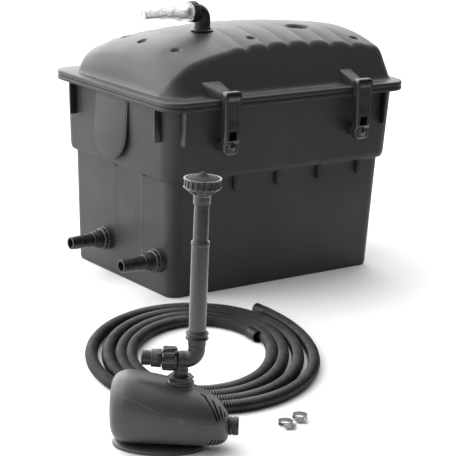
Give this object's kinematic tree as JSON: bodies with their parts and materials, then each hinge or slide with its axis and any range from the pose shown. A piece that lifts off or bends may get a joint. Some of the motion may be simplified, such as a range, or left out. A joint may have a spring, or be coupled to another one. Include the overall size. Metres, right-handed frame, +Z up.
{
  "type": "pond filter set",
  "caption": "Flow-through pond filter box with a latched dome lid, set out with its submersible fountain pump, a coil of ribbed hose and hose clamps.",
  "frame": {"origin": "middle of the filter box's base, on the floor", "axes": "+Z up; the box's long side runs along X and its outlets face -X; the front latches face -Y"},
  "size_m": [0.8956, 0.9147, 0.466],
  "materials": {
    "box": "fine-grained black-grey injection moulding",
    "lid": "satin black-grey moulding",
    "latch": "smooth moulding",
    "fitting": "smooth black moulding",
    "clear_plastic": "clear moulded plastic",
    "rubber": "matt",
    "steel": "bright zinc-plated or stainless steel",
    "pump_body": "fine-grained dark grey moulding",
    "hose": "spiral-ribbed black hose",
    "coarse_foam": "open-cell foam",
    "medium_foam": "open-cell foam",
    "fine_foam": "fine open-cell foam",
    "media": "loose plastic media",
    "motor": "potted motor block",
    "rotor": "white impeller on a sealed magnet"
  },
  "bodies": {
    "box": {"tub": "box", "media_bed": "media", "foam_fine": "fine_foam", "foam_medium": "medium_foam", "foam_coarse": "coarse_foam", "media_grid": "fitting", "foam_grid": "fitting", "outlet_front_bulkhead": "fitting", "outlet_front_gasket": "rubber", "outlet_front_tail": "fitting", "outlet_rear_bulkhead": "fitting", "outlet_rear_gasket": "rubber", "outlet_rear_tail": "fitting"},
    "outlet_nut_front": {"outlet_front_nut": "fitting"},
    "outlet_nut_rear": {"outlet_rear_nut": "fitting"},
    "lid": {"lid": "lid", "lid_seal": "rubber", "pin_front_left": "steel", "pin_front_right": "steel", "pin_rear_left": "steel", "pin_rear_right": "steel", "inlet_collar": "fitting", "inlet_back_nut": "fitting"},
    "latch_fl": {"latch_front_left": "latch"},
    "latch_fr": {"latch_front_right": "latch"},
    "latch_rl": {"latch_rear_left": "latch"},
    "latch_rr": {"latch_rear_right": "latch"},
    "inlet": {"inlet_elbow": "fitting", "inlet_tail": "clear_plastic"},
    "inlet_nut": {"inlet_nut": "fitting"},
    "pump": {"pump_shell_top": "pump_body", "pump_shell_base": "pump_body", "pump_foot": "pump_body", "pump_motor": "motor", "pump_volute": "motor", "suction_socket": "pump_body", "pump_outlet_nut": "pump_body"},
    "rotor": {"pump_rotor": "rotor"},
    "tee": {"tee_elbow": "pump_body", "side_tail": "pump_body", "riser_collar": "pump_body", "lower_riser": "clear_plastic"},
    "knob": {"flow_knob": "fitting"},
    "riser": {"upper_riser": "clear_plastic"},
    "nozzle": {"nozzle_head": "clear_plastic"},
    "hose": {"hose_coil": "hose"},
    "clamp_1": {"clamp_1_band": "steel", "clamp_1_housing": "steel"},
    "clamp_1_screw": {"clamp_1_screw": "steel"},
    "clamp_2": {"clamp_2_band": "steel", "clamp_2_housing": "steel"},
    "clamp_2_screw": {"clamp_2_screw": "steel"}
  },
  "joints": [
    {"name": "lid_lift", "type": "slide", "parent": "box", "child": "lid", "axis": [0, 0, 1], "range_m": [0, 0.2]},
    {"name": "latch_fl_swing", "type": "hinge", "parent": "lid", "child": "latch_fl", "pos_m": [-0.137, -0.1875, 0.341], "axis": [-1, 0, 0], "range_deg": [0, 95]},
    {"name": "latch_fr_swing", "type": "hinge", "parent": "lid", "child": "latch_fr", "pos_m": [0.137, -0.1875, 0.341], "axis": [-1, 0, 0], "range_deg": [0, 95]},
    {"name": "latch_rl_swing", "type": "hinge", "parent": "lid", "child": "latch_rl", "pos_m": [-0.137, 0.1875, 0.341], "axis": [1, 0, 0], "range_deg": [0, 95]},
    {"name": "latch_rr_swing", "type": "hinge", "parent": "lid", "child": "latch_rr", "pos_m": [0.137, 0.1875, 0.341], "axis": [1, 0, 0], "range_deg": [0, 95]},
    {"name": "inlet_swivel", "type": "hinge", "parent": "lid", "child": "inlet", "pos_m": [-0.078, -0.02, 0.43], "axis": [0, 0, 1], "continuous": true},
    {"name": "inlet_nut_turn", "type": "hinge", "parent": "inlet", "child": "inlet_nut", "pos_m": [-0.098, -0.02, 0.448], "axis": [-1, 0, 0], "continuous": true},
    {"name": "outlet_nut_front_turn", "type": "hinge", "parent": "box", "child": "outlet_nut_front", "pos_m": [-0.23, -0.115, 0.06], "axis": [-1, 0, 0], "continuous": true},
    {"name": "outlet_nut_rear_turn", "type": "hinge", "parent": "box", "child": "outlet_nut_rear", "pos_m": [-0.23, 0.04, 0.06], "axis": [-1, 0, 0], "continuous": true},
    {"name": "pump_lift", "type": "slide", "parent": "box", "child": "pump", "axis": [0, 0, 1], "range_m": [0, 0.2]},
    {"name": "rotor_spin", "type": "hinge", "parent": "pump", "child": "rotor", "pos_m": [-0.578, -0.646, 0.044], "axis": [0.7986, -0.6018, 0], "continuous": true},
    {"name": "tee_swivel", "type": "hinge", "parent": "pump", "child": "tee", "pos_m": [-0.55724, -0.66165, 0.1], "axis": [0, 0, 1], "continuous": true},
    {"name": "flow_knob_turn", "type": "hinge", "parent": "tee", "child": "knob", "pos_m": [-0.57161, -0.65082, 0.119], "axis": [0.7986, -0.6018, 0], "range_deg": [0, 270]},
    {"name": "riser_slide", "type": "slide", "parent": "tee", "child": "riser", "axis": [0, 0, 1], "range_m": [-0.045, 0.04]},
    {"name": "nozzle_turn", "type": "hinge", "parent": "riser", "child": "nozzle", "pos_m": [-0.54206, -0.67308, 0.33], "axis": [0, 0, 1], "continuous": true},
    {"name": "hose_lift", "type": "slide", "parent": "box", "child": "hose", "axis": [0, 0, 1], "range_m": [0, 0.1]},
    {"name": "clamp_1_lift", "type": "slide", "parent": "box", "child": "clamp_1", "axis": [0, 0, 1], "range_m": [0, 0.1]},
    {"name": "clamp_1_screw_turn", "type": "hinge", "parent": "clamp_1", "child": "clamp_1_screw", "pos_m": [-0.39787, -0.68939, 0.0045], "axis": [0.9397, -0.342, 0], "continuous": true},
    {"name": "clamp_2_lift", "type": "slide", "parent": "box", "child": "clamp_2", "axis": [0, 0, 1], "range_m": [0, 0.1]},
    {"name": "clamp_2_screw_turn", "type": "hinge", "parent": "clamp_2", "child": "clamp_2_screw", "pos_m": [-0.37116, -0.67892, 0.0045], "axis": [0.766, -0.6428, 0], "continuous": true}
  ]
}
